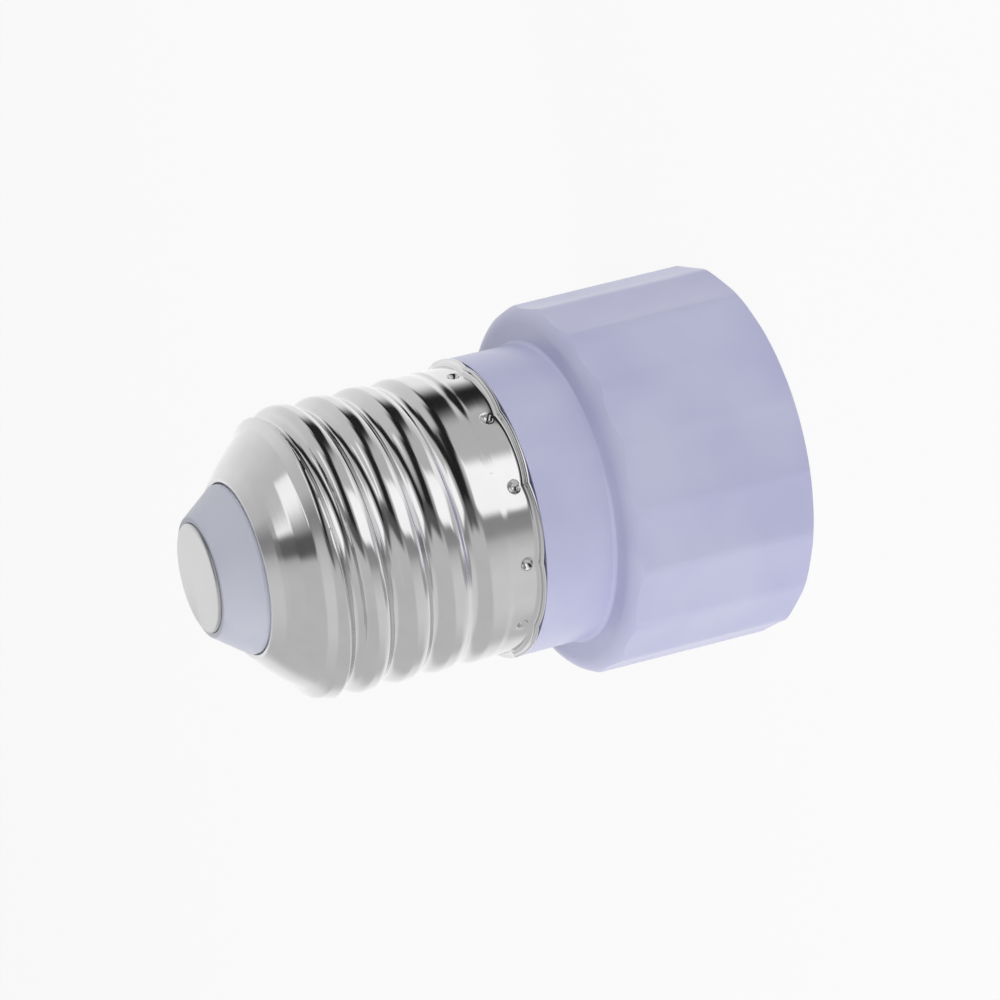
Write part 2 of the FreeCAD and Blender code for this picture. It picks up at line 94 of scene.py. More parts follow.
def nickelPlate():
    # bright nickel on drawn brass sheet: mirror-like, a warm grey, with faint marks of the rolling tool
    material, tree = newMaterial("bright_nickel_plate")
    coords = addNode(tree, "ShaderNodeTexCoord")
    rolled = addNode(tree, "ShaderNodeMapping", {}, {
        "Vector": coords.outputs["Object"], "Scale": (0.04, 0.04, 1.0)})
    lines = addNode(tree, "ShaderNodeTexNoise", {}, {
        "Vector": rolled.outputs["Vector"], "Scale": 1 / (0.22 * mm), "Detail": 3.0, "Roughness": 0.6})
    cloud = addNode(tree, "ShaderNodeTexNoise", {}, {
        "Vector": coords.outputs["Object"], "Scale": 1 / (2.2 * mm), "Detail": 5.0})
    polish = addNode(tree, "ShaderNodeMapRange", {}, {
        "Value": cloud.outputs["Fac"], "From Min": 0.3, "From Max": 0.7, "To Min": 0.09, "To Max": 0.13})
    tint = addNode(tree, "ShaderNodeValToRGB", {"stops": [
        (0.3, linearColour("#d6d5d6")), (0.7, linearColour("#dbdadb"))]}, {"Fac": cloud.outputs["Fac"]})
    bump = addNode(tree, "ShaderNodeBump", {}, {
        "Height": lines.outputs["Fac"], "Strength": 0.12, "Distance": 0.012 * mm})
    shader = addNode(tree, "ShaderNodeBsdfPrincipled", {}, {
        "Base Color": tint.outputs["Color"], "Metallic": 1.0,
        "Roughness": polish.outputs["Result"], "Normal": bump.outputs["Normal"]})
    addNode(tree, "ShaderNodeOutputMaterial", {}, {"Surface": shader.outputs["BSDF"]})
    return material


def mouldedPlastic(name, deepHex, paleHex, gloss, grainSize):
    # moulded thermoplastic: a smooth satin skin; its fine grain is drawn coarse enough to show
    material, tree = newMaterial(name)
    coords = addNode(tree, "ShaderNodeTexCoord")
    grain = addNode(tree, "ShaderNodeTexNoise", {}, {
        "Vector": coords.outputs["Object"], "Scale": 1 / (grainSize * mm), "Detail": 0.0})
    flow = addNode(tree, "ShaderNodeTexNoise", {}, {
        "Vector": coords.outputs["Object"], "Scale": 1 / (9 * mm), "Detail": 2.0})
    colour = addNode(tree, "ShaderNodeValToRGB", {"stops": [
        (0.35, linearColour(deepHex)), (0.65, linearColour(paleHex))]}, {"Fac": flow.outputs["Fac"]})
    skin = addNode(tree, "ShaderNodeMapRange", {}, {
        "Value": grain.outputs["Fac"], "From Min": 0.3, "From Max": 0.7,
        "To Min": gloss - 0.01, "To Max": gloss + 0.01})
    shader = addNode(tree, "ShaderNodeBsdfPrincipled", {}, {
        "Base Color": colour.outputs["Color"], "Roughness": skin.outputs["Result"], "IOR": 1.53})
    addNode(tree, "ShaderNodeOutputMaterial", {}, {"Surface": shader.outputs["BSDF"]})
    return material


def satinMetal(name, deepHex, paleHex, roughness, grainSize):
    # plated or rolled metal with a dull, slightly clouded face
    material, tree = newMaterial(name)
    coords = addNode(tree, "ShaderNodeTexCoord")
    grain = addNode(tree, "ShaderNodeTexNoise", {}, {
        "Vector": coords.outputs["Object"], "Scale": 1 / (grainSize * mm), "Detail": 4.0})
    colour = addNode(tree, "ShaderNodeValToRGB", {"stops": [
        (0.35, linearColour(deepHex)), (0.65, linearColour(paleHex))]}, {"Fac": grain.outputs["Fac"]})
    dull = addNode(tree, "ShaderNodeMapRange", {}, {
        "Value": grain.outputs["Fac"], "From Min": 0.3, "From Max": 0.7,
        "To Min": roughness - 0.05, "To Max": roughness + 0.05})
    bump = addNode(tree, "ShaderNodeBump", {}, {
        "Height": grain.outputs["Fac"], "Strength": 0.08, "Distance": 0.01 * mm})
    shader = addNode(tree, "ShaderNodeBsdfPrincipled", {}, {
        "Base Color": colour.outputs["Color"], "Metallic": 1.0,
        "Roughness": dull.outputs["Result"], "Normal": bump.outputs["Normal"]})
    addNode(tree, "ShaderNodeOutputMaterial", {}, {"Surface": shader.outputs["BSDF"]})
    return material


finishes = {
    "nickel": nickelPlate(),
    "housing": mouldedPlastic("moulded_pbt_cool_white", "#b9bad9", "#c1c2dd", 0.34, 1.5),
    "insulator": mouldedPlastic("moulded_pbt_tip", "#bbbecd", "#c2c4d1", 0.36, 0.3),
    "face": mouldedPlastic("moulded_pbt_face", "#c9cad6", "#cfd0da", 0.5, 0.4),
    "contact": satinMetal("tinned_brass_contact", "#cccccd", "#d2d2d2", 0.36, 0.12),
    "screws": satinMetal("zinc_plated_steel", "#b4b8bf", "#c6c9cf", 0.35, 0.3),
    "leaf": satinMetal("phosphor_bronze_strip", "#a9713a", "#c08a4c", 0.32, 0.2),
    "core": satinMetal("tinned_copper_strand", "#b3a08c", "#c9bcab", 0.4, 0.1),
    "liveSleeve": mouldedPlastic("silicone_sleeve_brown", "#4a2a17", "#55321d", 0.5, 0.2),
    "neutralSleeve": mouldedPlastic("silicone_sleeve_blue", "#2a4f96", "#3159a3", 0.5, 0.2),
}
print("materials made")


# pieces

def finishPiece(name, mesh, material, node, sharpAngle):
    # a plain mesh becomes a piece of the object, in the place of its CAD node
    mesh.name = name
    for layer in list(mesh.attributes):
        if layer.name == "custom_normal":
            mesh.attributes.remove(layer)
    mesh.shade_smooth()
    mesh.set_sharp_from_angle(angle=math.radians(sharpAngle))
    mesh.materials.clear()
    mesh.materials.append(material)
    piece = bpy.data.objects.new(name, mesh)
    bpy.context.scene.collection.objects.link(piece)
    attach(piece, "root")
    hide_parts(node)
    return piece


def newShapeTree(name, sizes):
    # a Geometry Nodes tree with one named input for each size
    tree = bpy.data.node_groups.new(name, "GeometryNodeTree")
    tree.interface.new_socket("Geometry", in_out="INPUT", socket_type="NodeSocketGeometry")
    for label, value in sizes.items():
        kind = "NodeSocketInt" if isinstance(value, int) else "NodeSocketFloat"
        tree.interface.new_socket(label, in_out="INPUT", socket_type=kind)
    tree.interface.new_socket("Geometry", in_out="OUTPUT", socket_type="NodeSocketGeometry")
    return tree, addNode(tree, "NodeGroupInput")


def shapeByNodes(blankMesh, tree, sizes):
    # runs a tree on a blank and gives back the plain mesh that comes out of it
    blank = bpy.data.objects.new(tree.name + "_blank", blankMesh)
    bpy.context.scene.collection.objects.link(blank)
    modifier = blank.modifiers.new(tree.name, "NODES")
    modifier.node_group = tree
    for socket in tree.interface.items_tree:
        if socket.in_out == "INPUT" and socket.name in sizes:
            modifier[socket.identifier] = sizes[socket.name]
    seen = blank.evaluated_get(bpy.context.evaluated_depsgraph_get())
    mesh = bpy.data.meshes.new_from_object(seen)
    blank.modifiers.remove(modifier)
    bpy.data.objects.remove(blank)
    bpy.data.meshes.remove(blankMesh)
    return mesh


def smoothedCopy(name, node, material, sharpAngle=28):
    # the CAD node's own form, with its loose triangles joined so that curved faces shade smoothly
    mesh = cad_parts[node].data.copy()
    joined = bmesh.new()
    joined.from_mesh(mesh)
    bmesh.ops.remove_doubles(joined, verts=joined.verts, dist=0.0005 * mm)
    joined.to_mesh(mesh)
    joined.free()
    return finishPiece(name, mesh, material, node, sharpAngle)


def roundedLine(corners, arcStep):
    # (radius, drop) points of a line whose corners are rounded by their third value
    points = []
    for i, (r, s, rounding) in enumerate(corners):
        here = Vector((r, s))
        if rounding <= 0 or i in (0, len(corners) - 1):
            points.append(here)
            continue
        back = (Vector(corners[i - 1][:2]) - here).normalized()
        ahead = (Vector(corners[i + 1][:2]) - here).normalized()
        half = back.angle(ahead) / 2
        centre = here + (back + ahead).normalized() * (rounding / math.sin(half))
        first = here + back * (rounding / math.tan(half)) - centre
        last = here + ahead * (rounding / math.tan(half)) - centre
        begin = math.atan2(first.y, first.x)
        sweep = (math.atan2(last.y, last.x) - begin + math.pi) % (2 * math.pi) - math.pi
        steps = max(2, math.ceil(abs(sweep) / math.radians(arcStep)))
        for k in range(steps + 1):
            a = begin + sweep * k / steps
            points.append(centre + Vector((math.cos(a), math.sin(a))) * rounding)
    return points


def evenly(points, spacing):
    # the same line with its long straight runs divided
    out = [points[0]]
    for a, b in zip(points, points[1:]):
        count = max(1, math.ceil((b - a).length / spacing))
        out += [a.lerp(b, k / count) for k in range(1, count + 1)]
    return out


shell = {  # radii, and drops below the tip, in mm
    "tipHeight": 51.4, "sheet": 0.35, "crest": 13.1, "bore": 11.6,
    "mouth": 7.6, "mouthDrop": 3.6, "mouthRoll": 0.2,
    # corners of the dome as (radius, drop, rounding), slightly crowned, up to the brim
    "dome": [(9.1, 4.5, 2), (10.53, 5.87, 22), (11.55, 7.15, 0.8), (12.6, 7.9, 0.6)],
    "brimDrop": 9.6, "brimRounding": 0.9,
    "domeInside": [(11.6, 7.65, 0), (11.08, 7.15, 0), (8.41, 4.1, 0)],
    "skirt": 13.05, "skirtDrop": 24.1, "skirtStep": 0.5, "length": 26.9,
    "lip": 13.68, "lipBend": 0.4,
    # the mesh: fine rows outside, three times the columns in the skirt, coarse rows inside
    "columns": 216, "skirtFactor": 3, "rowSpacing": 0.13, "skirtRowSpacing": 0.12, "skirtTop": 23.4,
    "insideSpacing": 0.25, "boreSpacing": 3.0, "outerArcStep": 8, "innerArcStep": 15,
}
rolling = {  # the inputs of the tree that rolls the thread and punches the dimples, in mm and degrees
    "Tip height": shell["tipHeight"], "Pitch": 3.629, "Crest radius": 13.15, "Root radius": 11.95,
    "Root rise": 0.17, "Run-out rise": 0.638, "Turns": 4.12, "Run-out": 0.72,
    "Start drop": 6.2, "Start angle": 225.8, "Blend": 0.2, "Valley share": 0.34,
    "Dimples": 12, "Dimple phase": 6.6, "Dimple drop": 25.35, "Dimple radius": 0.58, "Dimple depth": 0.42,
    "Dent radius": 1.5, "Dent depth": 0.08, "Skirt radius": shell["skirt"],
    "Lip start": 25.75, "Lip pull": 0.24,
}
# every line is one Math node: what it gives, its operation, and what goes in
rollingSteps = [
    ("side", "ARCTAN2", "y", "x"),
    ("sideTurn", "DIVIDE", "side", 2 * math.pi),
    ("drop", "SUBTRACT", "Tip height", "z"),
    ("xSquare", "MULTIPLY", "x", "x"),
    ("radiusSquare", "MULTIPLY_ADD", "y", "y", "xSquare"),
    ("radius", "SQRT", "radiusSquare"),
    ("startTurn", "DIVIDE", "Start angle", 360.0),
    ("ahead", "SUBTRACT", "startTurn", "sideTurn"),
    ("firstTurn", "FRACT", "ahead"),
    ("below", "SUBTRACT", "drop", "Start drop"),
    ("belowTurns", "DIVIDE", "below", "Pitch"),
    ("past", "SUBTRACT", "belowTurns", "firstTurn"),
    ("nearest", "ROUND", "past"),
    ("miss", "SUBTRACT", "past", "nearest"),
    ("missPart", "ABSOLUTE", "miss"),
    ("away", "MULTIPLY", "missPart", "Pitch"),
    ("turn", "ADD", "firstTurn", "nearest"),
    ("threadTurn", "MINIMUM", "turn", "Turns"),
    ("over", "SUBTRACT", "turn", "Turns"),
    ("runoutTurn", "MAXIMUM", "over", 0.0),
    ("root", "MULTIPLY_ADD", "threadTurn", "Root rise", "Root radius"),
    ("lift", "MULTIPLY", "runoutTurn", "Run-out rise"),
    ("left", "SUBTRACT", "Crest radius", "root"),
    ("depth", "MAXIMUM", "left", 0.01),
    ("halfPitch", "DIVIDE", "Pitch", 2.0),
    ("valleyHalf", "MULTIPLY", "halfPitch", "Valley share"),
    ("halfSquare", "MULTIPLY", "halfPitch", "halfPitch"),
    ("chord", "MULTIPLY_ADD", "depth", "depth", "halfSquare"),
    ("twoDepth", "MULTIPLY", "depth", 2.0),
    ("bothArcs", "DIVIDE", "chord", "twoDepth"),
    ("valleyArc", "MULTIPLY", "bothArcs", "Valley share"),
    ("crestArc", "SUBTRACT", "bothArcs", "valleyArc"),
    ("valleySquare", "MULTIPLY", "valleyArc", "valleyArc"),
    ("crestSquare", "MULTIPLY", "crestArc", "crestArc"),
    ("awaySquare", "MULTIPLY", "away", "away"),
    ("valleyRest", "SUBTRACT", "valleySquare", "awaySquare"),
    ("valleyRise", "SQRT", "valleyRest"),
    ("valleyMiddle", "ADD", "root", "valleyArc"),
    ("valley", "SUBTRACT", "valleyMiddle", "valleyRise"),
    ("fromCrest", "SUBTRACT", "halfPitch", "away"),
    ("fromCrestSquare", "MULTIPLY", "fromCrest", "fromCrest"),
    ("crestRest", "SUBTRACT", "crestSquare", "fromCrestSquare"),
    ("crestRise", "SQRT", "crestRest"),
    ("crestMiddle", "SUBTRACT", "Crest radius", "crestArc"),
    ("crest", "ADD", "crestMiddle", "crestRise"),
    ("inValley", "LESS_THAN", "away", "valleyHalf"),
    ("crestOverValley", "SUBTRACT", "crest", "valley"),
    ("onCrest", "SUBTRACT", 1.0, "inValley"),
    ("fullGroove", "MULTIPLY_ADD", "crestOverValley", "onCrest", "valley"),
    ("groove", "ADD", "fullGroove", "lift"),
    ("begun", "GREATER_THAN", "nearest", -0.5),
    ("end", "ADD", "Turns", "Run-out"),
    ("notEnded", "LESS_THAN", "turn", "end"),
    ("cut", "GREATER_THAN", "left", 0.01),
    ("begunAndCut", "MULTIPLY", "begun", "cut"),
    ("there", "MULTIPLY", "begunAndCut", "notEnded"),
    ("missing", "SUBTRACT", 1.0, "there"),
    ("reach", "MULTIPLY_ADD", "missing", 99.0, "groove"),
    ("nearness", "MULTIPLY_ADD", "missPart", -2.0, 1.0),
    ("blendHere", "MULTIPLY", "nearness", "Blend"),
    ("rolledRadius", "SMOOTH_MIN", "radius", "reach", "blendHere"),
    ("phaseTurn", "DIVIDE", "Dimple phase", 360.0),
    ("fromPhase", "SUBTRACT", "sideTurn", "phaseTurn"),
    ("dimpleSteps", "MULTIPLY", "fromPhase", "Dimples"),
    ("nearestDimple", "ROUND", "dimpleSteps"),
    ("missSteps", "SUBTRACT", "dimpleSteps", "nearestDimple"),
    ("missTurn", "DIVIDE", "missSteps", "Dimples"),
    ("missSide", "MULTIPLY", "missTurn", 2 * math.pi),
    ("across", "MULTIPLY", "missSide", "Skirt radius"),
    ("fromRow", "SUBTRACT", "drop", "Dimple drop"),
    ("acrossSquare", "MULTIPLY", "across", "across"),
    ("offSquare", "MULTIPLY_ADD", "fromRow", "fromRow", "acrossSquare"),
    ("punchSquare", "MULTIPLY", "Dimple radius", "Dimple radius"),
    ("punchPart", "DIVIDE", "offSquare", "punchSquare"),
    ("punchLeft", "SUBTRACT", 1.0, "punchPart"),
    ("punch", "MAXIMUM", "punchLeft", 0.0),
    ("punchDepth", "MULTIPLY", "punch", "Dimple depth"),
    ("dentSquare", "MULTIPLY", "Dent radius", "Dent radius"),
    ("dentPart", "DIVIDE", "offSquare", "dentSquare"),
    ("dentFall", "MULTIPLY", "dentPart", -2.0),
    ("dent", "EXPONENT", "dentFall"),
    ("sunk", "MULTIPLY_ADD", "dent", "Dent depth", "punchDepth"),
    ("newRadius", "SUBTRACT", "rolledRadius", "sunk"),
    ("factor", "DIVIDE", "newRadius", "radius"),
    ("newX", "MULTIPLY", "x", "factor"),
    ("newY", "MULTIPLY", "y", "factor"),
    ("missStepPart", "ABSOLUTE", "missSteps"),
    ("cuspLeft", "MULTIPLY_ADD", "missStepPart", -2.0, 1.0),
    ("cusp", "POWER", "cuspLeft", 2.5),
    ("pastLip", "SUBTRACT", "drop", "Lip start"),
    ("lipPart", "MULTIPLY", "pastLip", 2.0),
    ("lipFloor", "MAXIMUM", "lipPart", 0.0),
    ("lipShare", "MINIMUM", "lipFloor", 1.0),
    ("cuspPull", "MULTIPLY", "cusp", "Lip pull"),
    ("newZ", "MULTIPLY_ADD", "cuspPull", "lipShare", "z"),
]


def rollingTree():
    # rolls a right-hand knuckle thread and punches the dimples into a plain drawn shell
    tree, sizes = newShapeTree("rolled_shell", rolling)
    place = addNode(tree, "GeometryNodeInputPosition")
    inMm = addNode(tree, "ShaderNodeVectorMath", {"operation": "SCALE"}, {
        "Vector": place.outputs["Position"], "Scale": 1 / mm})
    parts = addNode(tree, "ShaderNodeSeparateXYZ", {}, {"Vector": inMm.outputs["Vector"]})
    values = {"x": parts.outputs["X"], "y": parts.outputs["Y"], "z": parts.outputs["Z"]}
    values.update({label: sizes.outputs[label] for label in rolling})
    for made, operation, *terms in rollingSteps:
        step = addNode(tree, "ShaderNodeMath", {"operation": operation, "label": made}, {
            i: values[term] if isinstance(term, str) else term for i, term in enumerate(terms)})
        values[made] = step.outputs["Value"]
    moved = addNode(tree, "ShaderNodeCombineXYZ", {}, {
        "X": values["newX"], "Y": values["newY"], "Z": values["newZ"]})
    inMetres = addNode(tree, "ShaderNodeVectorMath", {"operation": "SCALE"}, {
        "Vector": moved.outputs["Vector"], "Scale": mm})
    rolled = addNode(tree, "GeometryNodeSetPosition", {}, {
        "Geometry": sizes.outputs["Geometry"], "Position": inMetres.outputs["Vector"]})
    realized = addNode(tree, "GeometryNodeRealizeInstances", {}, {"Geometry": rolled.outputs["Geometry"]})
    plated = addNode(tree, "GeometryNodeSetMaterial", {}, {
        "Geometry": realized.outputs["Geometry"], "Material": finishes["nickel"]})
    addNode(tree, "NodeGroupOutput", {}, {"Geometry": plated.outputs["Geometry"]})
    return tree


def drawnShell():
    # the shell before rolling: rings of points down its outside and back up its inside
    s = shell
    outer = roundedLine([
        (s["mouth"], s["mouthDrop"] + s["mouthRoll"] + s["sheet"], 0),
        (s["mouth"], s["mouthDrop"], s["mouthRoll"]),
        (s["mouth"] + 2 * s["mouthRoll"], s["mouthDrop"], s["mouthRoll"]),
        *s["dome"],
        (s["crest"], s["brimDrop"], s["brimRounding"]),
        (s["crest"], s["skirtDrop"] - s["skirtStep"], 0),
        (s["skirt"], s["skirtDrop"], 0),
        (s["skirt"], s["length"] - s["sheet"], s["lipBend"]),
        (s["lip"] - s["sheet"] / 2, s["length"] - s["sheet"], 0),
    ], s["outerArcStep"])
    edge = [Vector((s["lip"] - s["sheet"] / 2 + s["sheet"] / 2 * math.sin(math.radians(a)),
                    s["length"] - s["sheet"] / 2 - s["sheet"] / 2 * math.cos(math.radians(a))))
            for a in range(s["innerArcStep"], 180, s["innerArcStep"])]
    inner = roundedLine([
        (s["lip"] - s["sheet"] / 2, s["length"], 0),
        (s["skirt"] - s["sheet"], s["length"], s["lipBend"] + s["sheet"]),
        (s["skirt"] - s["sheet"], s["skirtDrop"], 0),
        (s["bore"], s["skirtDrop"] - s["skirtStep"], 0),
        *s["domeInside"],
    ], s["innerArcStep"])
    coarse = [q for q in evenly(outer, s["rowSpacing"]) if q.y <= s["skirtTop"]]
    fine = [q for q in evenly(outer, s["skirtRowSpacing"]) if q.y > s["skirtTop"] + 0.05] + edge
    inside = [q for q in evenly(inner, s["insideSpacing"]) if q.y > s["skirtDrop"]]
    inside += [q for q in evenly(inner, s["boreSpacing"]) if q.y <= s["skirtDrop"] - 0.2]
    points, faces = [], []

    def ring(q, columns):
        start = len(points)
        for k in range(columns):
            a = 2 * math.pi * k / columns
            points.append((q.x * math.cos(a) * mm, q.x * math.sin(a) * mm, (s["tipHeight"] - q.y) * mm))
        return [start + k for k in range(columns)]

    def join(upper, lower):
        n, m = len(upper), len(lower)
        f = s["skirtFactor"]
        for k in range(min(n, m)):
            j = (k + 1) % min(n, m)
            if n == m:
                faces.append((upper[k], lower[k], lower[j], upper[j]))
            elif m > n:
                low = [lower[(f * k + i) % m] for i in range(f + 1)]
                faces.extend([(upper[k], low[0], low[1]), (upper[k], low[1], low[2], upper[j]),
                              (upper[j], low[2], low[3])])
            else:
                high = [upper[(f * k + i) % n] for i in range(f + 1)]
                faces.extend([(high[0], lower[k], high[1]), (high[1], lower[k], lower[j], high[2]),
                              (high[2], lower[j], high[3])])

    columns = s["columns"]
    rings = [ring(q, columns) for q in coarse]
    rings += [ring(q, columns * s["skirtFactor"]) for q in fine + inside]
    for upper, lower in zip(rings, rings[1:] + rings[:1]):
        join(upper, lower)
    mesh = bpy.data.meshes.new("drawn_shell")
    mesh.from_pydata(points, [], faces)
    return mesh


screws = {  # the inputs of the tree that slots the face screws and sets them round the face, in mm
    "Count": 2, "Circle radius": 11.0, "First angle": 107.5, "Face height": 3.0,
    "Slot width": 0.5, "Slot reach": 1.2, "Slot depth": 0.7,
}
screwOutline = [  # (radius, height) from the head's face to the point
    (2.1, 0), (2.17, 0.03), (2.2, 0.1), (1.2, 1.05), (1.2, 7.6), (0.12, 8.6)]


def screwTree():
    # cuts the crossed slot into one screw and repeats it round the socket face
    tree, sizes = newShapeTree("face_screw_ring", screws)
    scales = {  # the slots' boxes reach both ways from the middle of the head's face
        "Slot width": mm, "Slot reach": 2 * mm, "Slot depth": 2 * mm,
        "Circle radius": mm, "Face height": mm,
    }
    metres = {}
    for label, scale in scales.items():
        scaled = addNode(tree, "ShaderNodeMath", {"operation": "MULTIPLY"}, {
            0: sizes.outputs[label], 1: scale})
        metres[label] = scaled.outputs["Value"]
    long = addNode(tree, "ShaderNodeCombineXYZ", {}, {
        "X": metres["Slot reach"], "Y": metres["Slot width"], "Z": metres["Slot depth"]})
    wide = addNode(tree, "ShaderNodeCombineXYZ", {}, {
        "X": metres["Slot width"], "Y": metres["Slot reach"], "Z": metres["Slot depth"]})
    slotLong = addNode(tree, "GeometryNodeMeshCube", {}, {"Size": long.outputs["Vector"]})
    slotWide = addNode(tree, "GeometryNodeMeshCube", {}, {"Size": wide.outputs["Vector"]})
    cutLong = addNode(tree, "GeometryNodeMeshBoolean", {"operation": "DIFFERENCE", "solver": "EXACT"}, {
        "Mesh 1": sizes.outputs["Geometry"], "Mesh 2": slotLong.outputs["Mesh"]})
    cutBoth = addNode(tree, "GeometryNodeMeshBoolean", {"operation": "DIFFERENCE", "solver": "EXACT"}, {
        "Mesh 1": cutLong.outputs["Mesh"], "Mesh 2": slotWide.outputs["Mesh"]})
    first = addNode(tree, "ShaderNodeMath", {"operation": "RADIANS"}, {0: sizes.outputs["First angle"]})
    index = addNode(tree, "GeometryNodeInputIndex")
    share = addNode(tree, "ShaderNodeMath", {"operation": "DIVIDE"}, {
        0: index.outputs["Index"], 1: sizes.outputs["Count"]})
    turn = addNode(tree, "ShaderNodeMath", {"operation": "MULTIPLY_ADD"}, {
        0: share.outputs["Value"], 1: 2 * math.pi, 2: first.outputs["Value"]})
    cosine = addNode(tree, "ShaderNodeMath", {"operation": "COSINE"}, {0: turn.outputs["Value"]})
    sine = addNode(tree, "ShaderNodeMath", {"operation": "SINE"}, {0: turn.outputs["Value"]})
    x = addNode(tree, "ShaderNodeMath", {"operation": "MULTIPLY"}, {
        0: cosine.outputs["Value"], 1: metres["Circle radius"]})
    y = addNode(tree, "ShaderNodeMath", {"operation": "MULTIPLY"}, {
        0: sine.outputs["Value"], 1: metres["Circle radius"]})
    place = addNode(tree, "ShaderNodeCombineXYZ", {}, {
        "X": x.outputs["Value"], "Y": y.outputs["Value"], "Z": metres["Face height"]})
    spots = addNode(tree, "GeometryNodePoints", {}, {
        "Count": sizes.outputs["Count"], "Position": place.outputs["Vector"]})
    heading = addNode(tree, "ShaderNodeCombineXYZ", {}, {"Z": turn.outputs["Value"]})
    ring = addNode(tree, "GeometryNodeInstanceOnPoints", {}, {
        "Points": spots.outputs[0], "Instance": cutBoth.outputs["Mesh"],
        "Rotation": heading.outputs["Vector"]})
    realized = addNode(tree, "GeometryNodeRealizeInstances", {}, {"Geometry": ring.outputs["Instances"]})
    plated = addNode(tree, "GeometryNodeSetMaterial", {}, {
        "Geometry": realized.outputs["Geometry"], "Material": finishes["screws"]})
    addNode(tree, "NodeGroupOutput", {}, {"Geometry": plated.outputs["Geometry"]})
    return tree


def turnedScrew():
    # one closed screw on the Z axis, its head's face at the origin
    turned = bmesh.new()
    columns = 48
    rings = [[turned.verts.new((r * math.cos(2 * math.pi * k / columns) * mm,
                                r * math.sin(2 * math.pi * k / columns) * mm, z * mm))
              for k in range(columns)] for r, z in screwOutline]
    for low, high in zip(rings, rings[1:]):
        for k in range(columns):
            j = (k + 1) % columns
            turned.faces.new((low[k], low[j], high[j], high[k]))
    turned.faces.new(list(reversed(rings[0])))
    turned.faces.new(rings[-1])
    mesh = bpy.data.meshes.new("turned_screw")
    turned.to_mesh(mesh)
    turned.free()
    return mesh


rolledShell = shapeByNodes(drawnShell(), rollingTree(), rolling)
finishPiece("screw_shell_rolled", rolledShell, finishes["nickel"], "screw_shell", 50)
print("screw shell rolled")
screwRing = shapeByNodes(turnedScrew(), screwTree(), screws)
finishPiece("face_screws_turned", screwRing, finishes["screws"], "face_screws", 28)
print("face screws set")


solidPieces = {  # the CAD node, finish and slot of each piece that keeps its node's own form
    "housing_moulded": ("housing", "housing", "white_plastic"),
    "tip_insulator_moulded": ("tip_insulator", "insulator", "white_plastic"),
    "centre_contact_turned": ("centre_contact", "contact", "contact_plate"),
    "socket_face_moulded": ("socket_face", "face", "face_plastic"),
}
for name, (node, finish, slotName) in solidPieces.items():
    smoothedCopy(name, node, finishes[finish])
innerFinishes = {  # the finish of each CAD node that shows only through the keyholes
    "live_contact": "leaf", "neutral_contact": "leaf",
    "live_lead_core": "core", "neutral_lead_core": "core",
    "live_lead_sleeve": "liveSleeve", "neutral_lead_sleeve": "neutralSleeve",
}
for node, finish in innerFinishes.items():
    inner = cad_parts[node]
    inner.data.materials.clear()
    inner.data.materials.append(finishes[finish])
print("moulded and turned pieces dressed")


# the photograph's camera, from a pinhole fit in the part's own frame

view = {
    "place": (0.0100586, -0.289744, 0.139844),
    "right": (-0.22871, -0.37244, -0.89944),
    "up": (0.97299, -0.05781, -0.22348),
    "lens": 126.28,
}
right, up = Vector(view["right"]).normalized(), Vector(view["up"]).normalized()
back = right.cross(up).normalized()
camera = bpy.data.objects.new("photo_camera", bpy.data.cameras.new("photo_camera"))
camera.data.lens = view["lens"]
camera.data.clip_start = 0.01
camera.data.clip_end = 10
camera.matrix_world = Matrix.Translation(view["place"]) @ Matrix((right, up, back)).transposed().to_4x4()
bpy.context.scene.collection.objects.link(camera)
bpy.context.scene.camera = camera


# floor, world and studio

studio = {"floorSize": 3, "floorWhite": 0.9, "floorGlow": 0.9, "worldLight": 0.36}
centre = Vector((0, 0, 0.028))


def buildFloor():
    bpy.ops.mesh.primitive_plane_add(size=studio["floorSize"], location=(0, 0, 0))
    floor = bpy.context.object
    floor.name = "studio_floor"
    material, tree = newMaterial("white_paper_sweep")
    glowShare = addNode(tree, "ShaderNodeMath", {"operation": "MULTIPLY"}, {
        0: seenDirectly(tree), 1: studio["floorGlow"]})
    paper = addNode(tree, "ShaderNodeBsdfDiffuse", {}, {"Color": grey(studio["floorWhite"])})
    glow = addNode(tree, "ShaderNodeEmission", {}, {"Color": grey(1.0), "Strength": 1.0})
    mix = addNode(tree, "ShaderNodeMixShader", {}, {
        "Fac": glowShare.outputs["Value"], 1: paper.outputs["BSDF"], 2: glow.outputs["Emission"]})
    addNode(tree, "ShaderNodeOutputMaterial", {}, {"Surface": mix.outputs["Shader"]})
    floor.data.materials.append(material)
    floor.visible_glossy = False  # polished metal sees the light tent instead, also below the table


def buildWorld():
    world = bpy.data.worlds.new("studio_world")
    bpy.context.scene.world = world
    world.use_nodes = True
    tree = world.node_tree
    tree.nodes.clear()
    strength = addNode(tree, "ShaderNodeMapRange", {}, {
        "Value": seenDirectly(tree), "To Min": studio["worldLight"], "To Max": 1.0})
    light = addNode(tree, "ShaderNodeBackground", {}, {
        "Color": grey(1.0), "Strength": strength.outputs["Result"]})
    addNode(tree, "ShaderNodeOutputWorld", {}, {"Surface": light.outputs["Background"]})


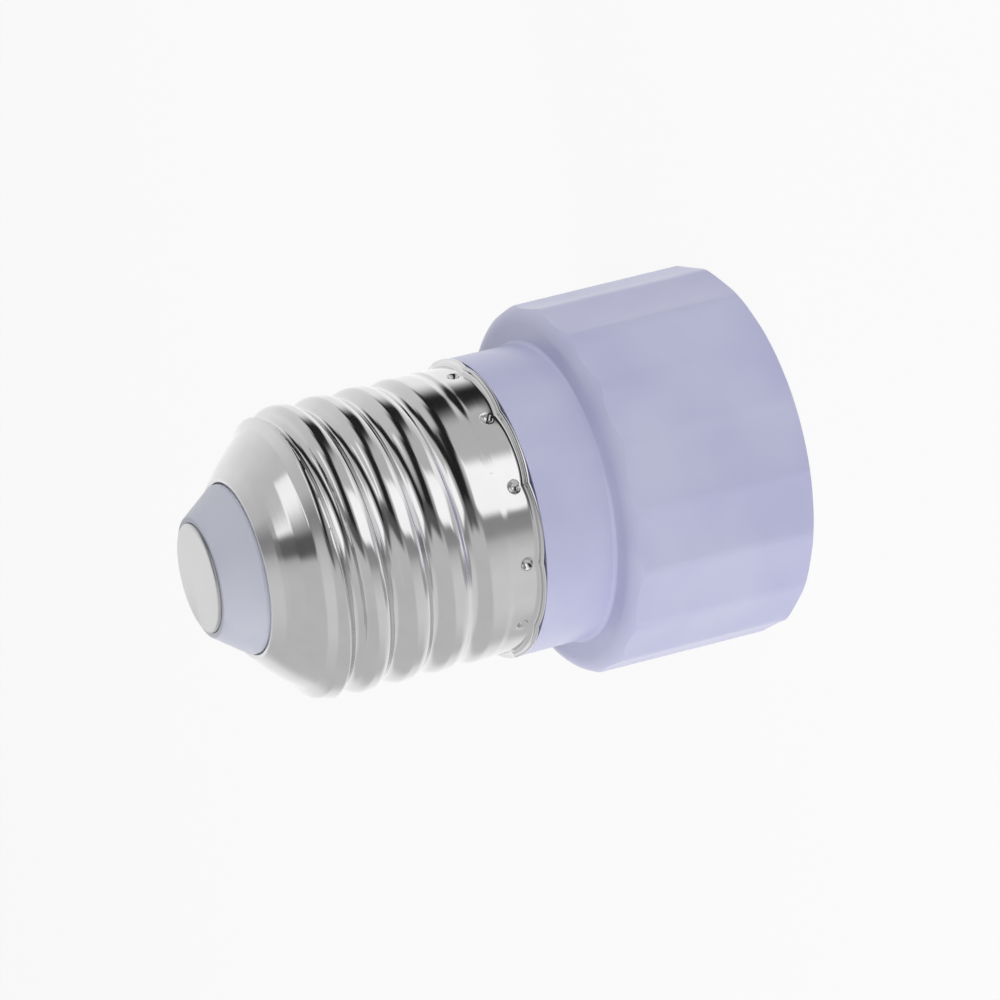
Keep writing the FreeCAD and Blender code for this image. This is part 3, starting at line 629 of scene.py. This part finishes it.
# a light tent round the object that only shows in polished surfaces: pale, with the studio's dark and
# bright places; turn is about the camera's right axis (0 at the camera, 90 overhead, -90 below), side
# is towards the right
tent = {
    "radius": 600, "sides": 90, "turns": 180,
    # (turn, level) all round
    "base": [(-180, 1.05), (-158, 1.05), (-135, 0.9), (-118, 0.84), (-90, 0.8), (-60, 0.78),
             (-43, 0.73), (-33, 0.66), (-24, 0.57), (-15, 0.35), (0, 0.3), (30, 0.62), (90, 0.7),
             (125, 0.85), (160, 1.0), (180, 1.05)],
    # each place with its sides and turns, the width of its soft edges, and its level
    "places": [
        {"sides": (-8, 90), "turns": (128, 181), "soft": (12, 10), "level": 1.1},
        {"sides": (66, 82), "turns": (-150, -8), "soft": (10, 14), "level": 0.42},
        {"sides": (-42, 30), "turns": (-135, -10), "soft": (18, 18), "level": 0.64},
        {"sides": (36, 62), "turns": (48, 105), "soft": (12, 9), "level": 1.15},
        {"sides": (18, 62), "turns": (5, 54), "soft": (16, 8), "level": 1.3},
        {"sides": (12, 34), "turns": (50, 96), "soft": (8, 9), "level": 0.6},
        {"sides": (-52, 4), "turns": (-17, 2), "soft": (14, 8), "level": 0.12},
        {"sides": (-34, -1), "turns": (0, 60), "soft": (14, 10), "level": 0.02},
        {"sides": (-24, 5), "turns": (42, 90), "soft": (12, 14), "level": 0.02},
        {"sides": (-13, 10), "turns": (66, 118), "soft": (8, 16), "level": 0.02},
        {"sides": (-54, -46), "turns": (4, 62), "soft": (5, 8), "level": 1.3},
    ],
}


def tentLevel(side, turn):
    base = tent["base"]
    level = base[-1][1]
    for (a, low), (b, high) in zip(base, base[1:]):
        if a <= turn <= b:
            level = low + (high - low) * (turn - a) / (b - a)
            break
    for place in tent["places"]:
        share = 1.0
        for value, span, soft in zip((side, turn), (place["sides"], place["turns"]), place["soft"]):
            inside = min(value - span[0], span[1] - value) / soft + 0.5
            inside = min(1.0, max(0.0, inside))
            share *= inside * inside * (3 - 2 * inside)
        level += (place["level"] - level) * share
    return level


def buildTent():
    sides, turns = tent["sides"], tent["turns"]
    points, levels, faces = [], [], []
    for i in range(sides + 1):
        side = -89.5 + 179 * i / sides
        for j in range(turns):
            turn = -180 + 360 * j / turns
            s, t = math.radians(side), math.radians(turn)
            outward = right * math.sin(s) + (up * math.sin(t) + back * math.cos(t)) * math.cos(s)
            points.append(centre + outward * tent["radius"] * mm)
            levels.append(tentLevel(side, turn))
    for i in range(sides):
        for j in range(turns):
            k = (j + 1) % turns
            faces.append((i * turns + j, i * turns + k, (i + 1) * turns + k, (i + 1) * turns + j))
    faces.append([j for j in range(turns)])
    faces.append([sides * turns + j for j in reversed(range(turns))])
    mesh = bpy.data.meshes.new("light_tent")
    mesh.from_pydata(points, [], faces)
    mesh.attributes.new("tent_level", "FLOAT", "POINT").data.foreach_set("value", levels)
    material, tree = newMaterial("lit_tent_cloth")
    level = addNode(tree, "ShaderNodeAttribute", {"attribute_name": "tent_level"})
    light = addNode(tree, "ShaderNodeEmission", {}, {"Color": grey(1.0), "Strength": level.outputs["Fac"]})
    addNode(tree, "ShaderNodeOutputMaterial", {}, {"Surface": light.outputs["Emission"]})
    material.cycles.emission_sampling = "NONE"
    mesh.materials.append(material)
    cloth = bpy.data.objects.new("light_tent", mesh)
    bpy.context.scene.collection.objects.link(cloth)
    cloth.visible_camera = cloth.visible_diffuse = cloth.visible_shadow = False
    cloth.visible_transmission = cloth.visible_volume_scatter = False


lamps = {  # towards the camera's right, its top and the camera; size and distance in mm, power in watts
    "lamp_key": {"towards": (0.08, 0.93, 0.36), "size": 200, "power": 1.58, "far": 420},
    "lamp_fill": {"towards": (-0.3, -0.05, 0.95), "size": 320, "power": 0.52, "far": 450},
    "lamp_low": {"towards": (0.1, -0.96, 0.22), "size": 220, "power": 1.0, "far": 430},
}


def buildLamp(name, lamp):
    towards = Vector(lamp["towards"]).normalized()
    outward = (right * towards.x + up * towards.y + back * towards.z).normalized()
    data = bpy.data.lights.new(name, "AREA")
    data.size = lamp["size"] * mm
    data.energy = lamp["power"]
    light = bpy.data.objects.new(name, data)
    light.location = centre + outward * lamp["far"] * mm
    light.rotation_mode = "QUATERNION"
    light.rotation_quaternion = outward.to_track_quat("Z", "Y")
    light.visible_glossy = False
    bpy.context.scene.collection.objects.link(light)


buildFloor()
buildWorld()
buildTent()
for name, lamp in lamps.items():
    buildLamp(name, lamp)
bpy.context.scene.view_settings.view_transform = "Standard"
print("studio set")
